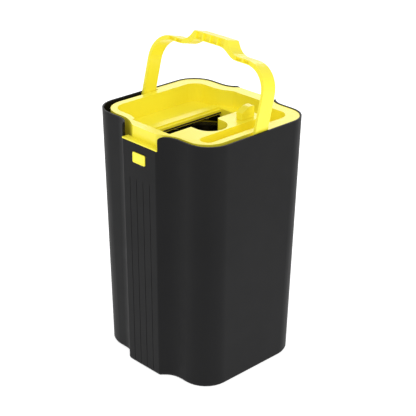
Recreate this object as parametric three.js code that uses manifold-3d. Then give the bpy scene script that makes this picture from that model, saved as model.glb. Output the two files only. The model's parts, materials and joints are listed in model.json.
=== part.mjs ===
// Bucket unit of a spin mop: square bucket, lift-out top insert, spin basket and carrying handle.
// Millimetres, +Z up, origin at the bottom centre. The front, with the release button, faces -Y.
import * as THREE from 'three';
import { mergeVertices } from 'three/addons/utils/BufferGeometryUtils.js';
import Module from 'manifold-3d';

const wasm = await Module();
wasm.setup();

// ---------------------------------------------------------------- driving dimensions
const GAP = 0.3; // between neighbouring pieces
const BUCKET_HEIGHT = 380;
const WALL = 2.5;
const FLOOR_UNDERSIDE = 8;
const FLOOR_TOP = 11;
const SKIRT_BOTTOM = 1.2;

// Plan of the bucket at its foot and at its rim: flat sides, lobes at the corners, proud panels.
const FOOT_PLAN = { side: 113.8, lobe: 98.3, panel: 114, edge: 34, bend: 44, flare: 62, radius: 40 };
const RIM_PLAN = { side: 120.5, lobe: 103.5, panel: 119.2, edge: 35, bend: 44.5, flare: 62, radius: 38 };

const NOTCH = { half: 36, bottom: 358.9, round: 5 };
const GROOVES = { pitch: 13.6, count: 4, width: 2.2, depth: 0.9, fade: 300, top: 313 };
const KEEPER_BACK = -101;
const BUTTON = { halfWidth: 12.5, bottom: 330.5, top: 346, proud: 1.1, flange: 3, travel: 3 };

// Top insert. Its front half stands clear of the bucket wall, so that the handle can lie in the gap.
const INSERT = { bottom: 336, top: 379.2, wall: 3, backPanel: 113 };
const DECK_UNDERSIDE = INSERT.top - INSERT.wall;
const INSERT_FRONT = { side: 108.5, lobe: 95.5, panel: 109, edge: 25, bend: 44, flare: 60, radius: 34 };
const HANDLE_STOP_Y = 16.2;
const LIP = { half: 35.6, bottom: 359.2, thickness: 2, front: 118.5, back: 118.3 };

// The basin's opening follows the insert's outline, inside the rim.
const BASIN_FRONT = { side: 98, lobe: 85, panel: 97.5, edge: 27, bend: 46, flare: 64, radius: 22 };
const BASIN_BACK = { side: 98, lobe: 82.5, panel: 93.5, edge: 29, bend: 45, flare: 62, radius: 20 };
const BASIN_FLOOR = 350;
const CHANNEL = { floor: 354, front: 50, left: 76, end: -82, radius: 10.5 };
const DECK_ROUND = 10;
const SLOT = { left: -40.5, right: 36.5, front: -95, back: 76 };
const POLE_CUT = { x: 48.5, y: -30, radius: 24.6, round: 5 };
const BAR = { left: -52.5, right: -36, bottom: 349.1, top: 355.5, back: 76, step: 4, lip: 2.6 };
const BLADE = { left: -50, right: -35.4, bottom: 346.8, top: 348.8 };
const SCRAPER_SCREWS = { x: -44.5, ys: [-70, -8, 54] };
const FAR = 130; // past every wall

// Handle. Reaches are measured from the pivot line while the handle stands straight up.
const PIVOT_Z = 370.5;
const LEAN_BACK = THREE.MathUtils.degToRad(14);
const HANDLE = { width: 24, half: 116.6, strap: 4.3, shoulder: 100, grip: 118, gripDepth: 12, shoulderDepth: 6.4 };
const PIN = { radius: 4, head: 7, headThickness: 1.5, inner: 102.6, clip: 5.4, boss: 8 };

// Spin basket and its spindle.
const BASKET = { bottom: 58.3, top: 330, footRadius: 79, rimRadius: 91, sheet: 1, hole: 42, slots: 12 };
const SHAFT = { radius: 5, bottom: 14.3, top: 73 };
const BEARING = { radius: 8.7, lower: 16, upper: 40, length: 8 };
const PEDESTAL = { flange: 40, neck: 15, bottom: 17.3, flangeTop: 21, top: 50 };
const HUB = { bottom: 52.2, radius: 76, plateBottom: 55, plateTop: 58, neckTop: 64 };

const KNOB = { x: 62.7, y: 25.5, length: 24.5, width: 11.5, low: 10.5, high: 17.5, stem: 4, drop: 2.8 };
const DRAIN = { z: 27, radius: 9, flange: 14 };
const FOOT_PLACE = { x: 84, y: 68, radius: 9 };

// ---------------------------------------------------------------- materials
const YELLOW = { color: 0xfbe83a, roughness: 0.32, metalness: 0 };
const BLACK = { color: 0x232325, roughness: 0.5, metalness: 0 };
const RUBBER = { color: 0x161616, roughness: 0.85, metalness: 0 };
const STEEL = { color: 0xb9bcc0, roughness: 0.25, metalness: 1 };
const POLISHED = { color: 0xcfd1d3, roughness: 0.1, metalness: 1 };
const BRONZE = { color: 0x9a7a48, roughness: 0.4, metalness: 1 };
const NYLON = { color: 0xe6e4da, roughness: 0.5, metalness: 0 };

const mop = new THREE.Group();

function addPart(name, solid, finish) {
  const mesh = new THREE.Mesh(toGeometry(solid), new THREE.MeshStandardMaterial(finish));
  mesh.name = name;
  mop.add(mesh);
  return mesh;
}

// ---------------------------------------------------------------- solids
function toSolid(geometry, matrix) {
  const bare = (geometry.index ? geometry : mergeVertices(geometry)).clone();
  bare.deleteAttribute('normal');
  bare.deleteAttribute('uv');
  if (matrix) bare.applyMatrix4(matrix);
  const welded = mergeVertices(bare, 1e-4);
  return new wasm.Manifold(new wasm.Mesh({
    numProp: 3,
    vertProperties: new Float32Array(welded.attributes.position.array),
    triVerts: new Uint32Array(welded.index.array),
  }));
}

function toGeometry(solid) {
  const mesh = solid.getMesh();
  const geometry = new THREE.BufferGeometry();
  geometry.setAttribute('position', new THREE.BufferAttribute(new Float32Array(mesh.vertProperties), 3));
  geometry.setIndex(new THREE.BufferAttribute(new Uint32Array(mesh.triVerts), 1));
  geometry.computeVertexNormals();
  return geometry;
}

// A block between two corners.
function block(low, high) {
  const size = high.map((value, i) => value - low[i]);
  const centre = high.map((value, i) => (value + low[i]) / 2);
  const matrix = new THREE.Matrix4().makeTranslation(...centre);
  return toSolid(new THREE.BoxGeometry(...size), matrix);
}

// A solid of revolution about Z through (x, y). The profile is a closed list of [radius, height].
function turned(profile, segments = 24, x = 0, y = 0) {
  const points = profile.map(([radius, height]) => new THREE.Vector2(radius, height));
  if (profile[0][0] > 0) points.push(points[0].clone());
  const matrix = new THREE.Matrix4().makeTranslation(x, y, 0);
  matrix.multiply(new THREE.Matrix4().makeRotationX(Math.PI / 2));
  const solid = toSolid(new THREE.LatheGeometry(points, segments), matrix);
  if (solid.volume() < 0) throw new Error('profile runs the wrong way round');
  return solid;
}

function rod(radius, bottom, top, segments = 24, x = 0, y = 0) {
  return turned([[0, bottom], [radius, bottom], [radius, top], [0, top]], segments, x, y);
}

function ring(inner, outer, bottom, top, segments = 24, x = 0, y = 0) {
  return turned([[inner, bottom], [outer, bottom], [outer, top], [inner, top]], segments, x, y);
}

// A flat outline, given as a THREE.Shape, raised from one height to another.
function raised(shape, bottom, top, curveSegments = 8) {
  const geometry = new THREE.ExtrudeGeometry(shape, { depth: top - bottom, bevelEnabled: false, curveSegments });
  return toSolid(geometry, new THREE.Matrix4().makeTranslation(0, 0, bottom));
}

// A solid through outlines at rising heights. All outlines have the same number of points.
function loft(levels) {
  const count = levels[0].points.length;
  const positions = levels.flatMap(({ z, points }) => points.flatMap(([x, y]) => [x, y, z]));
  const index = [];
  for (let level = 0; level + 1 < levels.length; level += 1) {
    for (let i = 0; i < count; i += 1) {
      const a = level * count + i;
      const b = level * count + ((i + 1) % count);
      index.push(a, b, b + count, a, b + count, a + count);
    }
  }
  const top = (levels.length - 1) * count;
  const flat = (points) => points.map(([x, y]) => new THREE.Vector2(x, y));
  for (const [a, b, c] of THREE.ShapeUtils.triangulateShape(flat(levels[0].points), [])) index.push(a, c, b);
  for (const [a, b, c] of THREE.ShapeUtils.triangulateShape(flat(levels.at(-1).points), [])) {
    index.push(top + a, top + b, top + c);
  }
  const geometry = new THREE.BufferGeometry();
  geometry.setAttribute('position', new THREE.Float32BufferAttribute(positions, 3));
  geometry.setIndex(index);
  return toSolid(geometry);
}

// ---------------------------------------------------------------- plan outlines
// The curve that sweeps from the lobe up to the edge of the proud panel, with the edge rounded off.
function panelCurve(plan, steps) {
  const corner = new THREE.Vector2(plan.edge, plan.panel);
  const bend = new THREE.Vector2(plan.bend, plan.lobe);
  const sweep = new THREE.QuadraticBezierCurve(new THREE.Vector2(plan.flare, plan.lobe), bend, corner);
  const points = sweep.getPoints(steps).slice(0, -1);
  const before = corner.clone().add(bend.clone().sub(corner).setLength(2.5));
  const after = new THREE.Vector2(plan.edge - 2.5, plan.panel);
  points[points.length - 1] = sweep.getPoint(1 - 1 / steps);
  points.push(...new THREE.QuadraticBezierCurve(before, corner, after).getPoints(3));
  return points.map((p) => [p.x, p.y]);
}

// One quarter of the outline, from the side at startY round to the panel.
function quarter(plan, startY, steps = 8) {
  const points = [[plan.side, startY]];
  for (let i = 0; i <= steps; i += 1) {
    const angle = (i / steps) * (Math.PI / 2);
    points.push([
      plan.side - plan.radius + plan.radius * Math.cos(angle),
      plan.lobe - plan.radius + plan.radius * Math.sin(angle),
    ]);
  }
  points.push(...panelCurve(plan, 6));
  return points;
}

const mirrorX = (points) => points.map(([x, y]) => [-x, y]).reverse();
const mirrorY = (points) => points.map(([x, y]) => [x, -y]).reverse();

// The whole outline, counter-clockwise from the right side.
function outline(back, front, stopY = 0) {
  const backHalf = quarter(back, stopY);
  const frontHalf = quarter(front, -stopY);
  if (stopY === 0) frontHalf.shift();
  const rightFront = mirrorY(frontHalf);
  const leftFront = mirrorX(rightFront);
  return [...backHalf, ...mirrorX(backHalf), ...leftFront, ...rightFront];
}

// A plan moved outwards everywhere by a margin.
function grown(plan, margin) {
  const sweepShift = 0.53 * margin; // keeps the sloping stretch as thick as the flat ones
  return {
    ...plan,
    side: plan.side + margin,
    lobe: plan.lobe + margin,
    panel: plan.panel + margin,
    radius: plan.radius + margin,
    edge: plan.edge + sweepShift,
    bend: plan.bend + sweepShift,
  };
}

// The bucket's plan at a height, moved inwards by an inset.
function bucketPlan(z, inset = 0) {
  const t = z / BUCKET_HEIGHT;
  const plan = {};
  for (const key of Object.keys(FOOT_PLAN)) plan[key] = FOOT_PLAN[key] + (RIM_PLAN[key] - FOOT_PLAN[key]) * t;
  return grown(plan, -inset);
}

function bucketLevel(z, inset = 0) {
  const plan = bucketPlan(z, inset);
  return { z, points: outline(plan, plan) };
}

// ---------------------------------------------------------------- outer bucket
// The finger notch, as an outline in X and height, cut through one wall.
function notchCut(yLow, yHigh) {
  const { half, bottom, round } = NOTCH;
  const shape = new THREE.Shape();
  shape.moveTo(-half, bottom);
  shape.lineTo(half, bottom);
  shape.lineTo(half, BUCKET_HEIGHT - round);
  shape.absarc(half + round, BUCKET_HEIGHT - round, round, Math.PI, Math.PI / 2, true);
  shape.lineTo(half + round, BUCKET_HEIGHT + 2);
  shape.lineTo(-half - round, BUCKET_HEIGHT + 2);
  shape.lineTo(-half - round, BUCKET_HEIGHT);
  shape.absarc(-half - round, BUCKET_HEIGHT - round, round, Math.PI / 2, 0, true);
  const geometry = new THREE.ExtrudeGeometry(shape, { depth: yHigh - yLow, bevelEnabled: false, curveSegments: 5 });
  const upright = new THREE.Matrix4().makeRotationX(Math.PI / 2);
  return toSolid(geometry, new THREE.Matrix4().makeTranslation(0, yHigh, 0).multiply(upright));
}

// One shallow groove down a panel. It fades out near its top. sign is -1 at the front, +1 at the back.
function groove(x, sign) {
  const at = (z, depth) => {
    const face = bucketPlan(z).panel;
    const half = GROOVES.width / 2;
    const points = [[x - half, face + 1], [x, face - depth], [x + half, face + 1]];
    const turnedRound = sign < 0 ? points.map(([px, py]) => [px, -py]).reverse() : points;
    return { z, points: turnedRound };
  };
  const solid = loft([at(-1, GROOVES.depth), at(GROOVES.fade, GROOVES.depth), at(GROOVES.top, -0.5)]);
  return solid;
}

function makeBucket() {
  const bottomLevel = bucketLevel(SKIRT_BOTTOM, 1.5);
  let solid = loft([bottomLevel, bucketLevel(4), bucketLevel(BUCKET_HEIGHT)]);
  solid = solid.subtract(loft([bucketLevel(FLOOR_TOP, WALL), bucketLevel(BUCKET_HEIGHT + 1, WALL)]));
  solid = solid.subtract(loft([bucketLevel(0, WALL + 1), bucketLevel(FLOOR_UNDERSIDE, WALL + 1)]));
  solid = solid.subtract(notchCut(-130, -80)).subtract(notchCut(80, 130));
  for (let i = 0; i < GROOVES.count; i += 1) {
    const x = (i - (GROOVES.count - 1) / 2) * GROOVES.pitch;
    solid = solid.subtract(groove(x, -1)).subtract(groove(x, 1));
  }
  solid = solid.subtract(block(
    [-BUTTON.halfWidth - GAP, -125, BUTTON.bottom - GAP],
    [BUTTON.halfWidth + GAP, -110, BUTTON.top + GAP],
  ));
  for (const x of [-1, 1]) {
    for (const y of [-1, 1]) solid = solid.add(supportLedge(x, y));
  }
  for (const place of pedestalScrewPlaces()) {
    solid = solid.add(rod(5, FLOOR_TOP - 1, PEDESTAL.bottom - GAP, 16, ...place));
    solid = solid.subtract(rod(1.9, FLOOR_TOP + 1, PEDESTAL.bottom + 1, 12, ...place));
  }
  return solid.subtract(drainHole(DRAIN.radius + 0.1));
}

// A ledge inside the wall. The insert's skirt stands on four of them.
function supportLedge(signX, signY) {
  const low = [103, 40, INSERT.bottom - GAP - 7];
  const high = [118, 58, INSERT.bottom - GAP];
  const xs = [low[0] * signX, high[0] * signX].sort((a, b) => a - b);
  const ys = [low[1] * signY, high[1] * signY].sort((a, b) => a - b);
  return block([xs[0], ys[0], low[2]], [xs[1], ys[1], high[2]]);
}

function pedestalScrewPlaces() {
  return [0, 1, 2].map((i) => {
    const angle = (i * 2 * Math.PI) / 3 + Math.PI / 2;
    return [32 * Math.cos(angle), 32 * Math.sin(angle)];
  });
}

function drainHole(radius) {
  const along = new THREE.Matrix4().makeTranslation(0, bucketPlan(DRAIN.z).panel, DRAIN.z);
  return toSolid(new THREE.CylinderGeometry(radius, radius, 30, 20), along);
}

// ---------------------------------------------------------------- top insert
// An outline in plan with rounded corners.
function roundedRect(left, right, front, back, radius) {
  const shape = new THREE.Shape();
  shape.moveTo(left + radius, front);
  shape.lineTo(right - radius, front);
  shape.absarc(right - radius, front + radius, radius, -Math.PI / 2, 0, false);
  shape.lineTo(right, back - radius);
  shape.absarc(right - radius, back - radius, radius, 0, Math.PI / 2, false);
  shape.lineTo(left + radius, back);
  shape.absarc(left + radius, back - radius, radius, Math.PI / 2, Math.PI, false);
  shape.lineTo(left, front + radius);
  shape.absarc(left + radius, front + radius, radius, Math.PI, 1.5 * Math.PI, false);
  return shape;
}

// The insert's plan: its back half fills the bucket, its front half leaves the handle's gap.
function insertLevel(z, inset = 0) {
  const back = bucketPlan(z, WALL + 0.4 + inset);
  back.panel = INSERT.backPanel - inset;
  return { z, points: outline(back, grown(INSERT_FRONT, -inset), HANDLE_STOP_Y + inset) };
}

// What to cut away to round off a vertical corner of material at (x, y). The material lies towards
// (signX, signY) from the corner.
function cornerCut(x, y, signX, signY, radius, bottom, top) {
  const xs = [x - signX, x + signX * radius].sort((a, b) => a - b);
  const ys = [y - signY, y + signY * radius].sort((a, b) => a - b);
  const centre = [x + signX * radius, y + signY * radius];
  return block([xs[0], ys[0], bottom], [xs[1], ys[1], top]).subtract(rod(radius, bottom, top, 40, ...centre));
}

// The way through for the mop head and for its pole, grown by a margin.
function slotCut(bottom, top, margin = 0) {
  const slot = block(
    [SLOT.left - margin, SLOT.front - margin, bottom],
    [SLOT.right + margin, SLOT.back + margin, top],
  );
  const pole = rod(POLE_CUT.radius + margin, bottom, top, 48, POLE_CUT.x, POLE_CUT.y);
  const reach = POLE_CUT.radius + margin;
  const mouth = block([SLOT.right - 5, POLE_CUT.y - reach, bottom], [POLE_CUT.x, POLE_CUT.y + reach, top]);
  const round = POLE_CUT.round - margin;
  const corner = cornerCut(SLOT.right + margin, POLE_CUT.y + reach, 1, 1, round, bottom, top);
  return slot.add(pole).add(mouth).add(corner);
}

// The basin's outline as an upright solid, grown by a margin.
function basinPrism(bottom, top, margin = 0) {
  const points = outline(grown(BASIN_BACK, margin), grown(BASIN_FRONT, margin));
  return loft([{ z: bottom, points }, { z: top, points }]);
}

// Everything that is open above: the basin on the left, the channel at the back and on the right.
// The deck beside the slot is what stays between them.
function basinCut(margin = 0) {
  const above = INSERT.top + 1;
  const low = CHANNEL.floor - margin;
  const right = BASIN_BACK.side + margin;
  const deckRight = CHANNEL.left - margin;
  const deckBack = CHANNEL.front - margin;
  const trough = roundedRect(deckRight, right, CHANNEL.end - margin, CHANNEL.front + 20, CHANNEL.radius + margin);
  const open = block([-FAR, -FAR, low], [SLOT.left, FAR, above])
    .add(block([-FAR, deckBack, low], [FAR, FAR, above]))
    .add(cornerCut(SLOT.right, deckBack, 1, -1, DECK_ROUND - margin, low, above))
    .add(cornerCut(deckRight, deckBack, -1, -1, DECK_ROUND - margin, low, above));
  const around = basinPrism(low, above, margin).intersect(open).add(raised(trough, low, above));
  const basin = basinPrism(BASIN_FLOOR - margin, above, margin)
    .intersect(block([-FAR, -FAR, BASIN_FLOOR - margin - 1], [BAR.left - GAP + 1 + margin, FAR, above + 1]));
  const seatLow = BLADE.bottom - GAP - margin;
  const barSeat = basinPrism(seatLow, above, margin).intersect(
    block([BAR.left - GAP - margin, -FAR, seatLow - 1], [BAR.right + 1, BAR.back + GAP + margin, above + 1]));
  return around.add(basin).add(barSeat);
}

// The hollow under the insert leaves an even wall below the basin, the channel and the deck.
// The slot's skirt stays open on the left, where the scraper's screws come up.
function undersideCut() {
  const { bottom, top, wall } = INSERT;
  const inside = loft([insertLevel(bottom - 1, wall), insertLevel(top - wall, wall)]);
  const skirt = slotCut(bottom - 2, top + 2, wall)
    .intersect(block([SLOT.left + wall, -FAR, bottom - 3], [FAR, FAR, top + 3]));
  return inside.subtract(basinCut(wall)).subtract(skirt);
}

function lip(signY, reach, from) {
  const ys = [from * signY, reach * signY].sort((a, b) => a - b);
  return block([-LIP.half, ys[0], LIP.bottom], [LIP.half, ys[1], LIP.bottom + LIP.thickness]);
}

function makeInsert() {
  let solid = loft([insertLevel(INSERT.bottom), insertLevel(INSERT.top)]);
  solid = solid.subtract(basinCut()).subtract(undersideCut()).subtract(slotCut(INSERT.bottom - 2, 400));
  solid = solid.add(lip(-1, LIP.front, 107.3)).add(lip(1, LIP.back, 111.2));
  solid = solid.subtract(keeperRoom());
  for (const side of [-1, 1]) {
    const wallInside = INSERT_FRONT.side - INSERT.wall;
    solid = solid.add(alongX(PIN.boss, (wallInside + 1) * side, (HANDLE.half - HANDLE.strap - GAP) * side));
    solid = solid.subtract(alongX(PIN.radius + 0.1, (wallInside - 1) * side, FAR * side));
  }
  solid = solid.subtract(rod(KNOB.stem + 0.1, DECK_UNDERSIDE - 5, INSERT.top + 5, 24, KNOB.x, KNOB.y));
  for (const y of SCRAPER_SCREWS.ys) {
    solid = solid.subtract(rod(2, BLADE.bottom - 8, BLADE.bottom + 2, 12, SCRAPER_SCREWS.x, y));
  }
  return solid;
}

// Room for the button keeper in the insert's skirt, open below.
function keeperRoom() {
  return block([-23, -125, INSERT.bottom - 1], [23, KEEPER_BACK + 1, 351]);
}

// A round solid along X at the handle's pivot line.
function alongX(radius, x0, x1, segments = 32) {
  const length = Math.abs(x1 - x0);
  const matrix = new THREE.Matrix4().makeTranslation((x0 + x1) / 2, 0, PIVOT_Z);
  matrix.multiply(new THREE.Matrix4().makeRotationZ(Math.PI / 2));
  return toSolid(new THREE.CylinderGeometry(radius, radius, length, segments), matrix);
}

// ---------------------------------------------------------------- scraper
// The bar and the blade end where the basin's front wall begins, so both are cut to its outline.
function makeScraperBar() {
  const { left, right, bottom, top, back, step, lip: stepDepth } = BAR;
  const outlineSolid = basinPrism(bottom - 1, top + 1, -GAP);
  let solid = outlineSolid.intersect(block([left, -FAR, bottom], [right, back, top]));
  solid = solid.subtract(block([right - step, -FAR, top - stepDepth], [right + 1, back + 1, top + 1]));
  for (const y of SCRAPER_SCREWS.ys) {
    solid = solid.subtract(rod(1.7, bottom - 1, top - 2, 12, SCRAPER_SCREWS.x, y));
  }
  return solid;
}

function makeScraperBlade() {
  const { left, right, bottom, top } = BLADE;
  const outlineSolid = basinPrism(bottom - 1, top + 1, -GAP - 1);
  let solid = outlineSolid.intersect(block([left, -FAR, bottom], [right, BAR.back - 1, top]));
  for (const y of SCRAPER_SCREWS.ys) {
    solid = solid.subtract(rod(2, bottom - 1, top + 1, 12, SCRAPER_SCREWS.x, y));
  }
  return solid;
}

function makeScraperScrew(y) {
  const ledgeBottom = BLADE.bottom - INSERT.wall - 2 * GAP;
  const tip = BAR.top - 2.5;
  const profile = [[0, ledgeBottom - 2.2], [3.4, ledgeBottom - 2.2], [3.4, ledgeBottom], [1.5, ledgeBottom],
    [1.5, tip], [0, tip]];
  return turned(profile, 12, SCRAPER_SCREWS.x, y);
}

// ---------------------------------------------------------------- handle
// The handle's face, in X and reach from the pivot line, as one closed outline.
function handleFace() {
  const { half, strap, shoulder, grip, gripDepth, shoulderDepth } = HANDLE;
  const end = -HANDLE.width / 2;
  const outer = { side: half, lobe: shoulder, panel: grip, edge: 33, bend: 42.5, flare: 58, radius: 40 };
  const points = quarter(outer, end, 10);
  const inner = [[half - strap, end]];
  const innerRadius = 36;
  const innerShoulder = shoulder - shoulderDepth;
  for (let i = 0; i <= 9; i += 1) {
    const angle = (i / 9) * (Math.PI / 2);
    inner.push([
      half - strap - innerRadius + innerRadius * Math.cos(angle),
      innerShoulder - innerRadius + innerRadius * Math.sin(angle),
    ]);
  }
  const sweep = new THREE.CubicBezierCurve(
    new THREE.Vector2(56, innerShoulder), new THREE.Vector2(40, innerShoulder),
    new THREE.Vector2(36, grip - gripDepth), new THREE.Vector2(20, grip - gripDepth),
  );
  inner.push(...sweep.getPoints(7).map((p) => [p.x, p.y]));
  const right = [...inner.reverse(), ...points];
  return [...right, ...mirrorX(right)];
}

// Pockets moulded into the handle's front edge: four under the grip and two in each shoulder.
function handlePockets() {
  const { grip, gripDepth, shoulder, shoulderDepth, width } = HANDLE;
  const deep = -width / 2 + 3.5;
  const pockets = [];
  for (let i = 0; i < 4; i += 1) {
    const x = (i - 1.5) * 14.6;
    pockets.push(block([x - 6.3, -width, grip - gripDepth + 1.3], [x + 6.3, deep, grip - 1.3]));
  }
  for (const side of [-1, 1]) {
    for (const x of [60.5 * side, 75 * side]) {
      pockets.push(block([x - 5.8, -width, shoulder - shoulderDepth + 1.3], [x + 5.8, deep, shoulder - 1.3]));
    }
  }
  return pockets;
}

// Side view of the straps: straight edges with a round end about the pivot.
function strapSide() {
  const radius = HANDLE.width / 2;
  const shape = new THREE.Shape();
  shape.moveTo(radius, 0);
  shape.lineTo(radius, HANDLE.grip + 5);
  shape.lineTo(-radius, HANDLE.grip + 5);
  shape.lineTo(-radius, 0);
  shape.absarc(0, 0, radius, Math.PI, 2 * Math.PI, false);
  const geometry = new THREE.ExtrudeGeometry(shape, { depth: 260, bevelEnabled: false, curveSegments: 16 });
  const basis = new THREE.Matrix4().makeBasis(
    new THREE.Vector3(0, 1, 0), new THREE.Vector3(0, 0, 1), new THREE.Vector3(1, 0, 0));
  return toSolid(geometry, new THREE.Matrix4().makeTranslation(-130, 0, 0).multiply(basis));
}

function makeHandle() {
  const face = loft([
    { z: -HANDLE.width / 2, points: handleFace() },
    { z: HANDLE.width / 2, points: handleFace() },
  ]);
  const upright = toSolid(toGeometry(face), new THREE.Matrix4().makeRotationX(Math.PI / 2));
  let solid = upright.intersect(strapSide());
  for (const pocket of handlePockets()) solid = solid.subtract(pocket);
  const place = new THREE.Matrix4().makeTranslation(0, 0, PIVOT_Z);
  place.multiply(new THREE.Matrix4().makeRotationX(-LEAN_BACK));
  solid = toSolid(toGeometry(solid), place);
  for (const side of [-1, 1]) {
    solid = solid.subtract(alongX(PIN.radius + 0.1, 100 * side, FAR * side));
    solid = solid.subtract(alongX(PIN.head + 0.3, (HANDLE.half - PIN.headThickness - 0.3) * side, FAR * side));
  }
  return solid;
}

function makePin(side) {
  const headInner = HANDLE.half - PIN.headThickness;
  const head = alongX(PIN.head, headInner * side, (HANDLE.half - 0.05) * side);
  return head.add(alongX(PIN.radius, PIN.inner * side, (headInner + 0.5) * side));
}

function makeClip(side) {
  const outer = INSERT_FRONT.side - INSERT.wall - GAP;
  const disc = alongX(PIN.clip, (outer - 1.6) * side, outer * side);
  return disc.subtract(alongX(PIN.radius + 0.1, 95 * side, FAR * side));
}

// ---------------------------------------------------------------- release button
function buttonFace() {
  return bucketPlan((BUTTON.bottom + BUTTON.top) / 2).panel;
}

// The face of the button, an outline in X and height with rounded corners, pushed through the wall.
function buttonPlate(grow, radius, yFront, yBack) {
  const shape = roundedRect(
    -BUTTON.halfWidth - grow, BUTTON.halfWidth + grow, BUTTON.bottom - grow, BUTTON.top + grow, radius);
  const geometry = new THREE.ExtrudeGeometry(shape, { depth: yBack - yFront, bevelEnabled: false, curveSegments: 4 });
  const matrix = new THREE.Matrix4().makeTranslation(0, yBack, 0);
  return toSolid(geometry, matrix.multiply(new THREE.Matrix4().makeRotationX(Math.PI / 2)));
}

function makeButton() {
  const face = buttonFace();
  const inside = -bucketPlan(BUTTON.top + BUTTON.flange).panel + WALL + 0.6;
  const head = buttonPlate(0, 2, -face - BUTTON.proud, inside + 1);
  const recess = buttonPlate(-1.7, 1, -face - BUTTON.proud - 1, -face - BUTTON.proud + 0.5);
  const flange = buttonPlate(BUTTON.flange, 2, inside, inside + 2);
  return head.subtract(recess).add(flange).add(alongY(3, inside + 1, inside + 4.5));
}

// A round solid along Y at the button's centre.
function alongY(radius, y0, y1, segments = 20) {
  const matrix = new THREE.Matrix4().makeTranslation(0, (y0 + y1) / 2, (BUTTON.bottom + BUTTON.top) / 2);
  return toSolid(new THREE.CylinderGeometry(radius, radius, Math.abs(y1 - y0), segments), matrix);
}

// The spring is drawn as short as it is while the button is pressed, and it moves with the button.
function makeSpring() {
  const start = -bucketPlan(BUTTON.top + BUTTON.flange).panel + WALL + 2.6 + GAP + 0.5;
  const end = KEEPER_BACK - 2 - GAP - 0.5 - BUTTON.travel;
  const turns = 5;
  const points = [];
  for (let i = 0; i <= turns * 10; i += 1) {
    const angle = (i / 10) * 2 * Math.PI;
    const y = start + ((end - start) * i) / (turns * 10);
    points.push(new THREE.Vector3(4.2 * Math.cos(angle), y, 4.2 * Math.sin(angle) + (BUTTON.bottom + BUTTON.top) / 2));
  }
  const wire = new THREE.Shape();
  wire.absarc(0, 0, 0.45, 0, 2 * Math.PI, false);
  const geometry = new THREE.ExtrudeGeometry(wire, {
    steps: turns * 10, extrudePath: new THREE.CatmullRomCurve3(points), curveSegments: 3, bevelEnabled: false,
  });
  return toSolid(geometry);
}

// A bridge screwed to the inside of the front wall. It backs the spring.
function makeKeeper() {
  const bottom = BUTTON.bottom - 4;
  const top = BUTTON.top + 4;
  const wallInside = -bucketPlan(bottom).panel + WALL + GAP + 0.4;
  let solid = block([-20, wallInside, bottom], [20, KEEPER_BACK, top]);
  solid = solid.subtract(block([-17, wallInside - 1, bottom - 1], [17, KEEPER_BACK - 2, top + 1]));
  return solid;
}

// ---------------------------------------------------------------- deck knob
function makeKnob() {
  const { x, y, length, width, low, high, stem } = KNOB;
  const base = INSERT.top + GAP;
  const shape = new THREE.Shape();
  shape.moveTo(-length / 2, 0);
  shape.lineTo(length / 2, 0);
  shape.lineTo(length / 2, high - 3);
  shape.quadraticCurveTo(length / 2, high, length / 2 - 3, high);
  shape.lineTo(length * 0.14, high);
  shape.quadraticCurveTo(length * 0.03, high, -length * 0.07, high - 1.6);
  shape.lineTo(-length / 2, low);
  const geometry = new THREE.ExtrudeGeometry(shape, { depth: width, bevelEnabled: false, curveSegments: 6 });
  const basis = new THREE.Matrix4().makeBasis(
    new THREE.Vector3(0, 1, 0), new THREE.Vector3(0, 0, 1), new THREE.Vector3(1, 0, 0));
  const place = new THREE.Matrix4().makeTranslation(x - width / 2, y, base);
  const fin = toSolid(geometry, place.multiply(basis));
  const stemBottom = DECK_UNDERSIDE - KNOB.drop;
  return fin.add(rod(stem, stemBottom, base + 1, 24, x, y)).subtract(rod(1.7, stemBottom - 1, base + 4, 12, x, y));
}

function makeKnobScrew() {
  const head = DECK_UNDERSIDE - KNOB.drop - GAP;
  const tip = INSERT.top + 3.5;
  const profile = [[0, head - 2.4], [6, head - 2.4], [6, head], [1.5, head], [1.5, tip], [0, tip]];
  return turned(profile, 16, KNOB.x, KNOB.y);
}

// ---------------------------------------------------------------- spindle and basket
function makePedestal() {
  const { flange, neck, bottom, flangeTop, top } = PEDESTAL;
  const bore = BEARING.radius + 0.3;
  const profile = [[0, FLOOR_TOP + GAP], [12, FLOOR_TOP + GAP], [14, bottom], [flange, bottom], [flange, flangeTop],
    [neck + 3, flangeTop], [neck, flangeTop + 6], [neck - 1, top], [bore, top], [bore, 13.6], [0, 13.6]];
  let solid = turned(profile, 32);
  for (const place of pedestalScrewPlaces()) solid = solid.subtract(rod(2.2, bottom - 1, flangeTop + 1, 12, ...place));
  return solid;
}

function makePedestalScrew(place) {
  const head = PEDESTAL.flangeTop + GAP;
  const profile = [[0, FLOOR_TOP + 1.5], [1.6, FLOOR_TOP + 1.5], [1.6, head], [4, head], [3.4, head + 2.2], [0, head + 2.6]];
  return turned(profile, 12, ...place);
}

function makeHub() {
  const { bottom, radius, plateBottom, plateTop, neckTop } = HUB;
  const bore = SHAFT.radius + 0.3;
  const profile = [[bore, bottom], [20, bottom], [24, plateBottom], [radius, plateBottom], [radius, plateTop],
    [30, plateTop], [22, neckTop], [bore, neckTop]];
  let solid = turned(profile, 40);
  for (const place of basketScrewPlaces()) solid = solid.subtract(rod(1.9, plateBottom - 1, plateTop + 1, 12, ...place));
  return solid;
}

function basketScrewPlaces() {
  return [0, 1, 2, 3].map((i) => {
    const angle = (i * Math.PI) / 2 + Math.PI / 4;
    return [58 * Math.cos(angle), 58 * Math.sin(angle)];
  });
}

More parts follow.
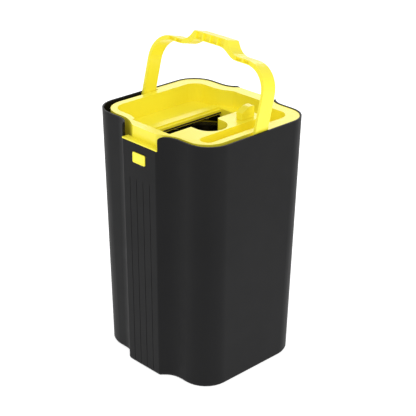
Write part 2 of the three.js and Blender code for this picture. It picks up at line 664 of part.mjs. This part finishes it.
// A thin sheet drum, wider at the rim, with a rolled rim and a row of upright drain slots.
function makeBasket() {
  const { bottom, top, footRadius, rimRadius, sheet, hole, slots } = BASKET;
  const profile = [[hole, bottom], [footRadius - 3, bottom], [footRadius, bottom + 3], [rimRadius - 1, top - 6],
    [rimRadius + 1.5, top - 4], [rimRadius + 1.5, top - 1], [rimRadius, top], [rimRadius - 1.5, top - 1],
    [rimRadius - 2, top - 6], [footRadius - sheet, bottom + 3.4], [footRadius - 3.4, bottom + sheet],
    [hole, bottom + sheet]];
  let solid = turned(profile, 48);
  for (let i = 0; i < slots; i += 1) {
    const geometry = new THREE.BoxGeometry(14, 7, 46);
    const matrix = new THREE.Matrix4().makeRotationZ((i * 2 * Math.PI) / slots);
    solid = solid.subtract(toSolid(geometry, matrix.multiply(new THREE.Matrix4().makeTranslation(80, 0, 92))));
  }
  for (const place of basketScrewPlaces()) solid = solid.subtract(rod(1.9, bottom - 1, bottom + 2, 12, ...place));
  return solid;
}

function makeBasketScrew(place) {
  const head = BASKET.bottom + BASKET.sheet + GAP;
  const profile = [[0, HUB.plateBottom + 0.5], [1.6, HUB.plateBottom + 0.5], [1.6, head], [4, head], [3.4, head + 2], [0, head + 2.4]];
  return turned(profile, 12, ...place);
}

// A hexagonal nut that clamps the hub to the shaft.
function makeHubNut() {
  const nut = rod(9, HUB.neckTop + GAP, HUB.neckTop + 6, 6);
  return nut.subtract(rod(SHAFT.radius + 0.3, HUB.neckTop - 1, HUB.neckTop + 7, 24));
}

function makeHubCap() {
  const base = HUB.neckTop + GAP;
  const profile = [[0, base + 14], [10, base + 12.5], [15, base + 8], [17, base], [15, base], [13.4, base + 7],
    [9, base + 10.8], [0, base + 12]];
  return turned(profile.reverse(), 28);
}

// ---------------------------------------------------------------- drain plug
function makeDrainPlug() {
  const wall = bucketPlan(DRAIN.z).panel;
  const profile = [[0, -10], [DRAIN.radius - 1.5, -10], [DRAIN.radius - 0.4, -1], [DRAIN.radius - 0.4, GAP + 0.4],
    [DRAIN.flange, GAP + 0.4], [DRAIN.flange, 3.2], [DRAIN.flange - 1.5, 4], [0, 4]];
  const points = profile.map(([radius, height]) => new THREE.Vector2(radius, height));
  const matrix = new THREE.Matrix4().makeTranslation(0, wall, DRAIN.z);
  return toSolid(new THREE.LatheGeometry(points, 20), matrix);
}

// ---------------------------------------------------------------- assembly
addPart('outer_bucket', makeBucket(), BLACK);
for (const [side, x] of [['left', -1], ['right', 1]]) {
  for (const [end, y] of [['front', -1], ['back', 1]]) {
    const foot = rod(FOOT_PLACE.radius, 0, FLOOR_UNDERSIDE - GAP, 20, FOOT_PLACE.x * x, FOOT_PLACE.y * y);
    addPart(`foot_${end}_${side}`, foot, RUBBER);
  }
}
addPart('drain_plug', makeDrainPlug(), RUBBER);

addPart('spindle_pedestal', makePedestal(), BLACK);
pedestalScrewPlaces().forEach((place, i) => addPart(`pedestal_screw_${i + 1}`, makePedestalScrew(place), STEEL));
for (const [name, bottom] of [['lower_bearing', BEARING.lower], ['upper_bearing', BEARING.upper]]) {
  addPart(name, ring(SHAFT.radius + 0.08, BEARING.radius, bottom, bottom + BEARING.length, 32), BRONZE);
}
addPart('thrust_washer', ring(SHAFT.radius + 0.3, 13, PEDESTAL.top + GAP, HUB.bottom - GAP, 24), NYLON);
addPart('spindle_shaft', rod(SHAFT.radius, SHAFT.bottom, SHAFT.top, 32), STEEL);
addPart('basket_hub', makeHub(), BLACK);
addPart('spin_basket', makeBasket(), POLISHED);
basketScrewPlaces().forEach((place, i) => addPart(`basket_screw_${i + 1}`, makeBasketScrew(place), STEEL));
addPart('hub_nut', makeHubNut(), STEEL);
addPart('hub_cap', makeHubCap(), BLACK);

addPart('top_insert', makeInsert(), YELLOW);
addPart('scraper_bar', makeScraperBar(), YELLOW);
addPart('scraper_blade', makeScraperBlade(), RUBBER);
SCRAPER_SCREWS.ys.forEach((y, i) => addPart(`scraper_screw_${i + 1}`, makeScraperScrew(y), STEEL));

addPart('carry_handle', makeHandle(), YELLOW);
for (const [name, side] of [['left', -1], ['right', 1]]) {
  addPart(`pivot_pin_${name}`, makePin(side), STEEL);
  addPart(`pivot_clip_${name}`, makeClip(side), STEEL);
}

addPart('deck_knob', makeKnob(), YELLOW);
addPart('knob_washer', ring(KNOB.stem + 0.3, 9, DECK_UNDERSIDE - GAP - 1.9, DECK_UNDERSIDE - GAP, 24, KNOB.x, KNOB.y), NYLON);
addPart('knob_screw', makeKnobScrew(), STEEL);

addPart('release_button', makeButton(), YELLOW);
addPart('button_spring', makeSpring(), STEEL);
addPart('button_keeper', makeKeeper(), BLACK);

export default mop;
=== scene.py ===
"""Looks of the spin mop's bucket unit: moulded plastic, polished steel and a plain white studio.

Metres, in the CAD frame: +Z up, the front panel with the release button faces -Y.
"""
import json
import math

import bmesh
import bpy
from mathutils import Matrix, Vector


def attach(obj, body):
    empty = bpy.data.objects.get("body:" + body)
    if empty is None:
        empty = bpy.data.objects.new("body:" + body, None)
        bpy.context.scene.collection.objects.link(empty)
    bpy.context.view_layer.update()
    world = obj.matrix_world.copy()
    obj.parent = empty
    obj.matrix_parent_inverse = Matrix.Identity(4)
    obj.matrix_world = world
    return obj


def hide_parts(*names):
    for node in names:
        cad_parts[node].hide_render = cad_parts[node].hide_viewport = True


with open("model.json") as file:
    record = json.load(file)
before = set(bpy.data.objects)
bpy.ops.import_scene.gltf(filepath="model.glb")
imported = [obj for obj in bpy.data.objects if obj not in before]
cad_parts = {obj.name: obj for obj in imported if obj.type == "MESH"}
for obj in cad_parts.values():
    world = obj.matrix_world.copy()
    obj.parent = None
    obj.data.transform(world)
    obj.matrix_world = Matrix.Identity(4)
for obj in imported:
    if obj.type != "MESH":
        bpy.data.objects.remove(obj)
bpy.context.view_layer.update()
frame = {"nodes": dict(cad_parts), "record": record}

MM = 0.001

# Camera: metres and degrees. Azimuth 0 looks from -Y, and 90 from +X.
CAMERA_PLACE = Vector((1.1856, -1.1455, 0.9876))
CAMERA_AZIMUTH = 45.6
CAMERA_ELEVATION = 24.78
CAMERA_ROLL = 0.61
CAMERA_LENS = 106.3
SENSOR_WIDTH = 36

# Studio.
FLOOR_HALF = 6.0
FLOOR_DROP = 0.0002
FLOOR_GLOW = 0.8
WORLD_STRENGTH = 0.62
LIGHT_TARGET = Vector((0, 0, 0.25))
# name, azimuth, elevation, distance, width, height, power
SOFTBOXES = [
    ("right_strip", 78, 14, 2.2, 0.5, 1.6, 12),
    ("front_strip", 16, 10, 2.4, 0.3, 1.6, 5),
    ("back_panel", 225, 26, 2.2, 1.6, 1.2, 10),
    ("overhead", 60, 80, 1.9, 1.0, 1.0, 4),
]

# A small glow stands in for the light that passes through the yellow plastic.
GLOW_COLOUR = (1.0, 0.78, 0.03, 1)
GLOW = 0.08

PLASTIC_IOR = 1.49

# Rounded edges of the moulded pieces, in mm. Edges flatter than EDGE_ANGLE stay as they are.
EDGE_ANGLE = math.radians(28)
FLAT_ANGLE = math.radians(0.5)
WELD_DISTANCE = 2e-6
BEVEL_SEGMENTS = 3
NORMAL_WEIGHT = 80
FINER = {
    "outer_bucket": 0.9,
    "top_insert": 1.1,
    "deck_knob": 1.0,
    "scraper_bar": 0.5,
    "release_button": 0.6,
}


# ---------------------------------------------------------------- materials
def new_material(name):
    material = bpy.data.materials.new(name)
    material.use_nodes = True
    tree = material.node_tree
    shader = tree.nodes["Principled BSDF"]
    return material, tree, shader


def add_node(tree, kind, **values):
    node = tree.nodes.new(kind)
    for key, value in values.items():
        if hasattr(node, key):
            setattr(node, key, value)
        else:
            node.inputs[key.replace("_", " ")].default_value = value
    return node


def object_coordinates(tree):
    return add_node(tree, "ShaderNodeTexCoord").outputs["Object"]


def noise(tree, scale, detail=3.0, roughness=0.5):
    node = add_node(tree, "ShaderNodeTexNoise", Scale=scale, Detail=detail, Roughness=roughness)
    tree.links.new(object_coordinates(tree), node.inputs["Vector"])
    return node.outputs["Fac"]


def remap(tree, value, low, high):
    node = add_node(tree, "ShaderNodeMapRange")
    tree.links.new(value, node.inputs["Value"])
    node.inputs["To Min"].default_value = low
    node.inputs["To Max"].default_value = high
    return node.outputs["Result"]


def colour_between(tree, value, low, high):
    ramp = add_node(tree, "ShaderNodeValToRGB")
    ramp.color_ramp.elements[0].color = (*low, 1)
    ramp.color_ramp.elements[1].color = (*high, 1)
    ramp.color_ramp.elements[0].position = 0.3
    ramp.color_ramp.elements[1].position = 0.7
    tree.links.new(value, ramp.inputs["Fac"])
    return ramp.outputs["Color"]


def bump(tree, shader, height, strength, distance):
    node = add_node(tree, "ShaderNodeBump")
    node.inputs["Strength"].default_value = strength
    node.inputs["Distance"].default_value = distance
    tree.links.new(height, node.inputs["Height"])
    tree.links.new(node.outputs["Normal"], shader.inputs["Normal"])


def yellow_plastic():
    material, tree, shader = new_material("yellow_plastic")
    colour = colour_between(tree, noise(tree, 9), (0.94, 0.838, 0.040), (0.96, 0.860, 0.048))
    tree.links.new(colour, shader.inputs["Base Color"])
    shader.inputs["Emission Color"].default_value = GLOW_COLOUR
    shader.inputs["Emission Strength"].default_value = GLOW
    tree.links.new(remap(tree, noise(tree, 60), 0.26, 0.36), shader.inputs["Roughness"])
    bump(tree, shader, noise(tree, 900, 2), 0.06, 0.0002)
    shader.inputs["IOR"].default_value = PLASTIC_IOR
    return material


def black_plastic():
    material, tree, shader = new_material("black_plastic")
    colour = colour_between(tree, noise(tree, 6), (0.0070, 0.0070, 0.0075), (0.0090, 0.0090, 0.0095))
    tree.links.new(colour, shader.inputs["Base Color"])
    tree.links.new(remap(tree, noise(tree, 40), 0.44, 0.54), shader.inputs["Roughness"])
    bump(tree, shader, noise(tree, 1400, 2), 0.12, 0.0002)
    shader.inputs["IOR"].default_value = PLASTIC_IOR
    shader.inputs["Specular IOR Level"].default_value = 0.12
    return material


def polished_steel():
    material, tree, shader = new_material("polished_steel")
    shader.inputs["Base Color"].default_value = (0.62, 0.61, 0.59, 1)
    shader.inputs["Metallic"].default_value = 1.0
    tree.links.new(remap(tree, noise(tree, 35), 0.07, 0.16), shader.inputs["Roughness"])
    stretched = add_node(tree, "ShaderNodeMapping")
    stretched.inputs["Scale"].default_value = (1, 1, 60)
    tree.links.new(object_coordinates(tree), stretched.inputs["Vector"])
    lines = add_node(tree, "ShaderNodeTexNoise", Scale=30.0, Detail=3.0)
    tree.links.new(stretched.outputs["Vector"], lines.inputs["Vector"])
    bump(tree, shader, lines.outputs["Fac"], 0.05, 0.0002)
    return material


def plain_steel(name="steel", colour=(0.55, 0.56, 0.58), low=0.25, high=0.4):
    material, tree, shader = new_material(name)
    shader.inputs["Base Color"].default_value = (*colour, 1)
    shader.inputs["Metallic"].default_value = 1.0
    tree.links.new(remap(tree, noise(tree, 250), low, high), shader.inputs["Roughness"])
    bump(tree, shader, noise(tree, 1200, 2), 0.05, 0.0001)
    return material


def soft_rubber():
    material, tree, shader = new_material("rubber")
    colour = colour_between(tree, noise(tree, 80), (0.010, 0.010, 0.010), (0.016, 0.016, 0.016))
    tree.links.new(colour, shader.inputs["Base Color"])
    shader.inputs["Roughness"].default_value = 0.75
    bump(tree, shader, noise(tree, 1800, 2), 0.2, 0.0002)
    return material


def pale_nylon():
    material, tree, shader = new_material("nylon")
    colour = colour_between(tree, noise(tree, 40), (0.74, 0.72, 0.66), (0.80, 0.78, 0.72))
    tree.links.new(colour, shader.inputs["Base Color"])
    shader.inputs["Roughness"].default_value = 0.45
    return material


MATERIALS = {
    "yellow_plastic": yellow_plastic(),
    "black_plastic": black_plastic(),
    "polished_steel": polished_steel(),
    "steel": plain_steel(),
    "bronze": plain_steel("bronze", (0.42, 0.26, 0.12), 0.35, 0.5),
    "rubber": soft_rubber(),
    "nylon": pale_nylon(),
}


# ---------------------------------------------------------------- finer pieces
def node_body(node):
    for body, nodes in frame["record"]["behaviour"]["bodies"].items():
        if node in nodes:
            return body
    raise ValueError(node)


def node_slot(node):
    for row in frame["record"]["subparts"]:
        if row["node"] == node:
            return row["material_slot"]
    raise ValueError(node)


def finer_copy(node, bevel):
    """A copy of a CAD node with its flat faces joined up, its edges rounded and smooth shading."""
    source = frame["nodes"][node]
    mesh = source.data.copy()
    mesh.name = node + "_moulded"
    piece = bpy.data.objects.new(node + "_moulded", mesh)
    bpy.context.scene.collection.objects.link(piece)
    shape = bmesh.new()
    shape.from_mesh(mesh)
    bmesh.ops.remove_doubles(shape, verts=shape.verts, dist=WELD_DISTANCE)
    bmesh.ops.dissolve_limit(
        shape, angle_limit=FLAT_ANGLE, verts=shape.verts, edges=shape.edges, delimit=set())
    sharp = [edge for edge in shape.edges if edge.is_manifold and edge.calc_face_angle(0) > EDGE_ANGLE]
    bmesh.ops.bevel(
        shape, geom=sharp, offset=bevel, offset_type="OFFSET", segments=BEVEL_SEGMENTS, profile=0.5,
        affect="EDGES", clamp_overlap=True, loop_slide=True, miter_outer="ARC", harden_normals=False)
    for face in shape.faces:
        face.smooth = True
    shape.to_mesh(mesh)
    shape.free()
    mesh.materials.clear()
    mesh.materials.append(MATERIALS[node_slot(node)])
    smooth = piece.modifiers.new("weighted", "WEIGHTED_NORMAL")
    smooth.keep_sharp = False
    smooth.weight = NORMAL_WEIGHT
    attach(piece, node_body(node))
    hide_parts(node)
    return piece


# ---------------------------------------------------------------- assembly
for node, piece in frame["nodes"].items():
    if node in FINER:
        finer_copy(node, FINER[node] * MM)
    else:
        piece.data.materials.clear()
        piece.data.materials.append(MATERIALS[node_slot(node)])


# ---------------------------------------------------------------- studio
def direction(azimuth, elevation):
    """The unit vector from the object towards a camera or light, from angles in radians."""
    flat = math.cos(elevation)
    return Vector((math.sin(azimuth) * flat, -math.cos(azimuth) * flat, math.sin(elevation)))


def make_floor():
    """A white light table: it glows a little, so the object stands on it almost without a shadow."""
    material, tree, shader = new_material("studio_white")
    shader.inputs["Base Color"].default_value = (0.6, 0.6, 0.6, 1)
    shader.inputs["Roughness"].default_value = 0.8
    shader.inputs["Emission Color"].default_value = (1, 1, 1, 1)
    shader.inputs["Emission Strength"].default_value = FLOOR_GLOW
    mesh = bpy.data.meshes.new("studio_floor")
    corners = [(x * FLOOR_HALF, y * FLOOR_HALF, 0) for x, y in [(-1, -1), (1, -1), (1, 1), (-1, 1)]]
    mesh.from_pydata(corners, [], [(0, 1, 2, 3)])
    floor = bpy.data.objects.new("studio_floor", mesh)
    floor.location.z = -FLOOR_DROP
    bpy.context.scene.collection.objects.link(floor)
    mesh.materials.append(material)


def softbox(name, azimuth, elevation, distance, width, height, power):
    """An area light on a sphere round the object. Azimuth 0 is in front, at -Y, and 90 is at +X."""
    away = direction(math.radians(azimuth), math.radians(elevation))
    light = bpy.data.lights.new(name, "AREA")
    light.energy = power
    light.shape = "RECTANGLE"
    light.size = width
    light.size_y = height
    lamp = bpy.data.objects.new(name, light)
    lamp.location = LIGHT_TARGET + distance * away
    lamp.rotation_euler = (-away).to_track_quat("-Z", "Y").to_euler()
    bpy.context.scene.collection.objects.link(lamp)


def make_lights():
    world = bpy.data.worlds.new("studio")
    bpy.context.scene.world = world
    world.use_nodes = True
    background = world.node_tree.nodes["Background"]
    background.inputs["Color"].default_value = (1.0, 1.0, 1.0, 1)
    background.inputs["Strength"].default_value = WORLD_STRENGTH
    for name, *values in SOFTBOXES:
        softbox(name, *values)


def make_camera():
    data = bpy.data.cameras.new("camera")
    data.lens = CAMERA_LENS
    data.sensor_width = SENSOR_WIDTH
    camera = bpy.data.objects.new("camera", data)
    bpy.context.scene.collection.objects.link(camera)
    azimuth = math.radians(CAMERA_AZIMUTH)
    elevation = math.radians(CAMERA_ELEVATION)
    roll = math.radians(CAMERA_ROLL)
    back = direction(azimuth, elevation)
    right = Vector((math.cos(azimuth), math.sin(azimuth), 0))
    up = back.cross(right)
    right_rolled = math.cos(roll) * right + math.sin(roll) * up
    up_rolled = -math.sin(roll) * right + math.cos(roll) * up
    turn = Matrix((right_rolled, up_rolled, back)).transposed()
    camera.matrix_world = Matrix.Translation(CAMERA_PLACE) @ turn.to_4x4()
    bpy.context.scene.camera = camera


bpy.context.scene.view_settings.view_transform = "Standard"
make_floor()
make_lights()
make_camera()
